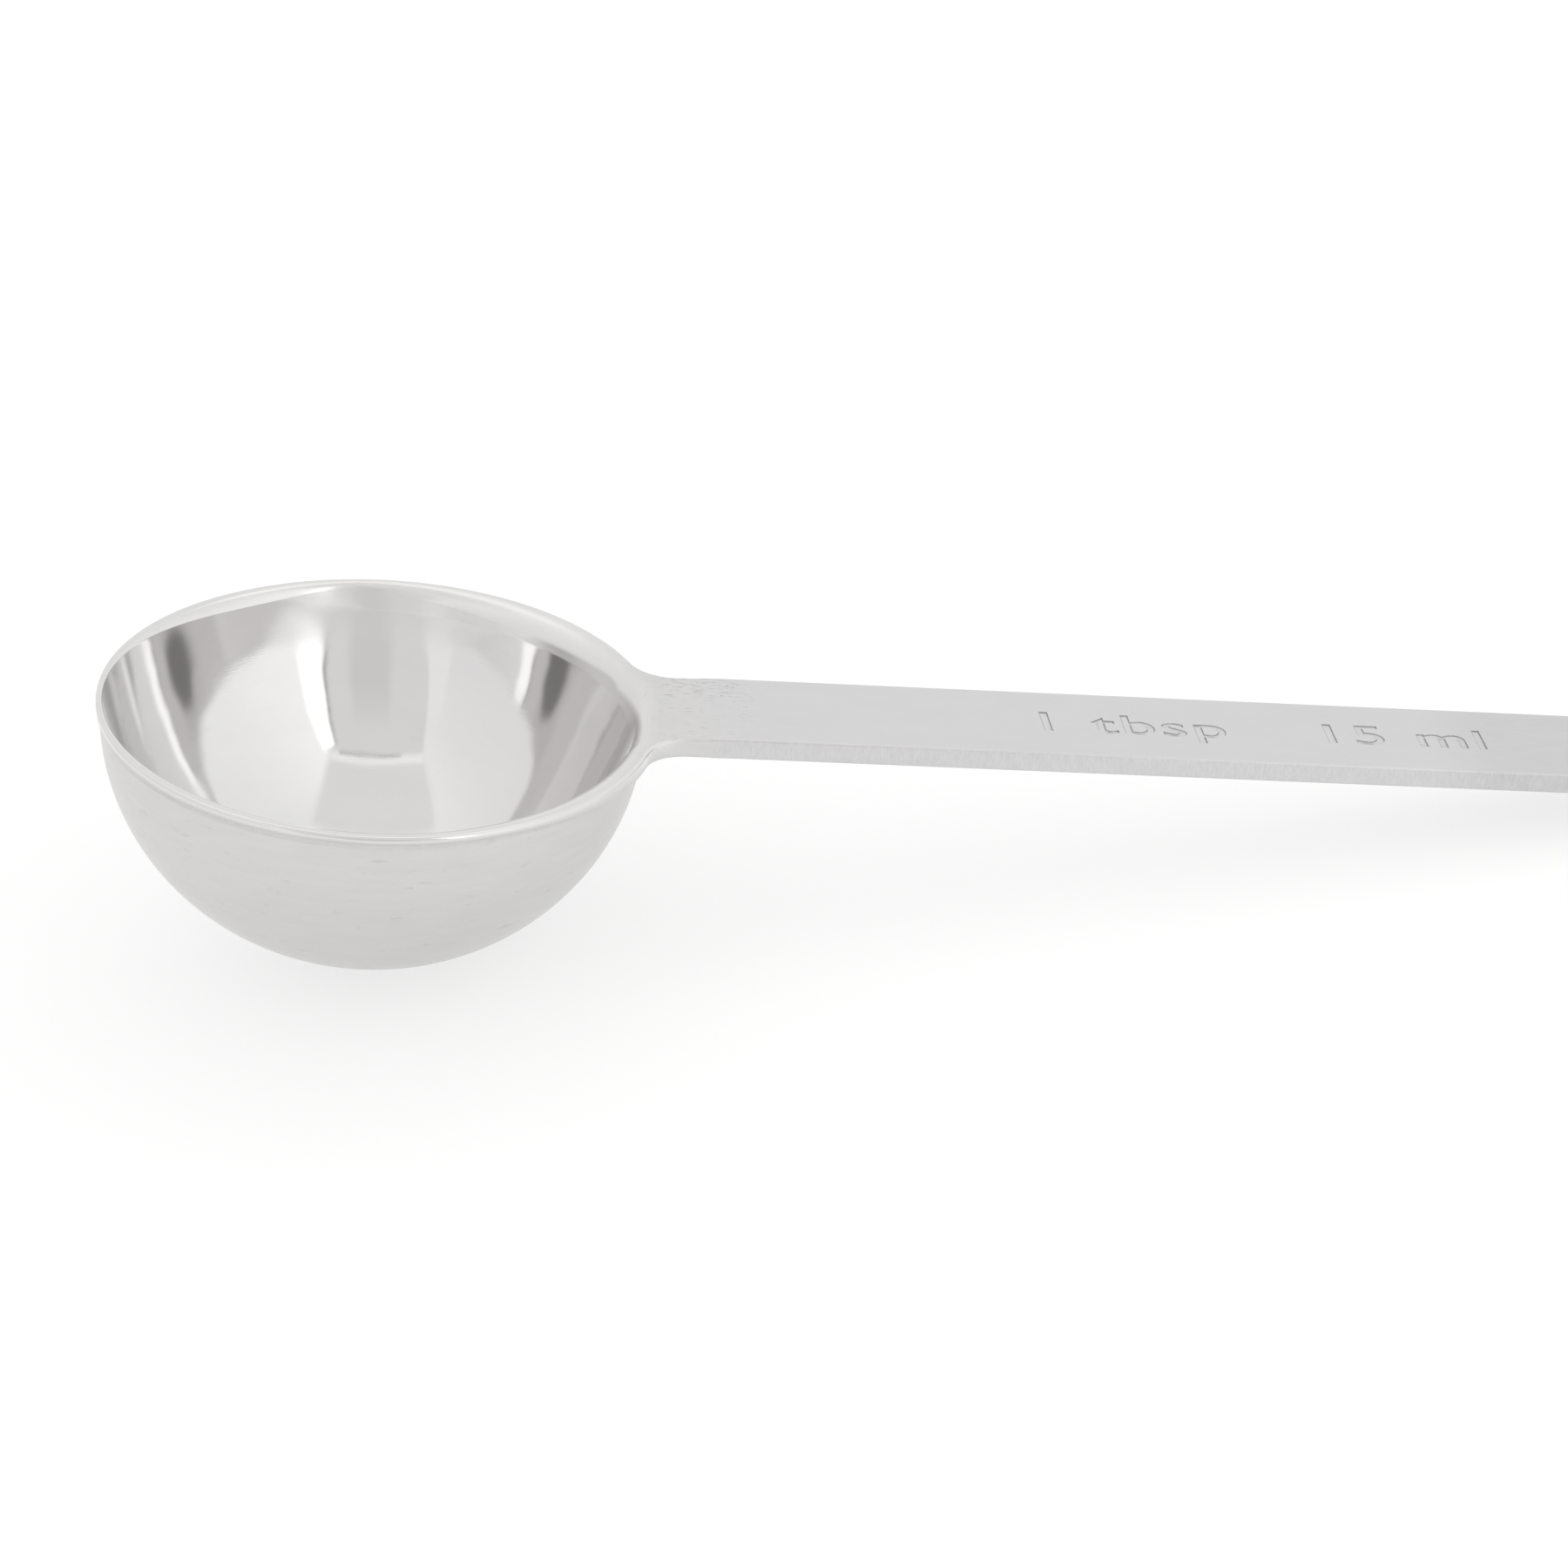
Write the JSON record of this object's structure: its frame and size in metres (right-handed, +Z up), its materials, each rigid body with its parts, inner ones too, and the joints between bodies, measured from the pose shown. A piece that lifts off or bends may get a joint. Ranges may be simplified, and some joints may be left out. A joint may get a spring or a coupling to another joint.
{
  "type": "measuring spoon",
  "caption": "Stainless steel tablespoon measure with a deep round bowl, a flared mouth with a narrow trimmed lip, and a flat bar handle with a hanging hole.",
  "frame": {"origin": "on the table that the spoon lies on, under the middle of its length, width and height box", "axes": "+X from the bowl towards the end of the handle, +Z up from the table; the XZ plane halves the spoon"},
  "size_m": [0.1404, 0.043, 0.0233],
  "materials": {
    "bowl_steel": "mirror polished inside, satin outside",
    "weld_steel": "dressed flush and satin polished",
    "handle_steel": "fine satin polish, ground edges"
  },
  "bodies": {
    "root": {"bowl": "bowl_steel", "neck_weld": "weld_steel", "handle": "handle_steel"}
  },
  "joints": []
}
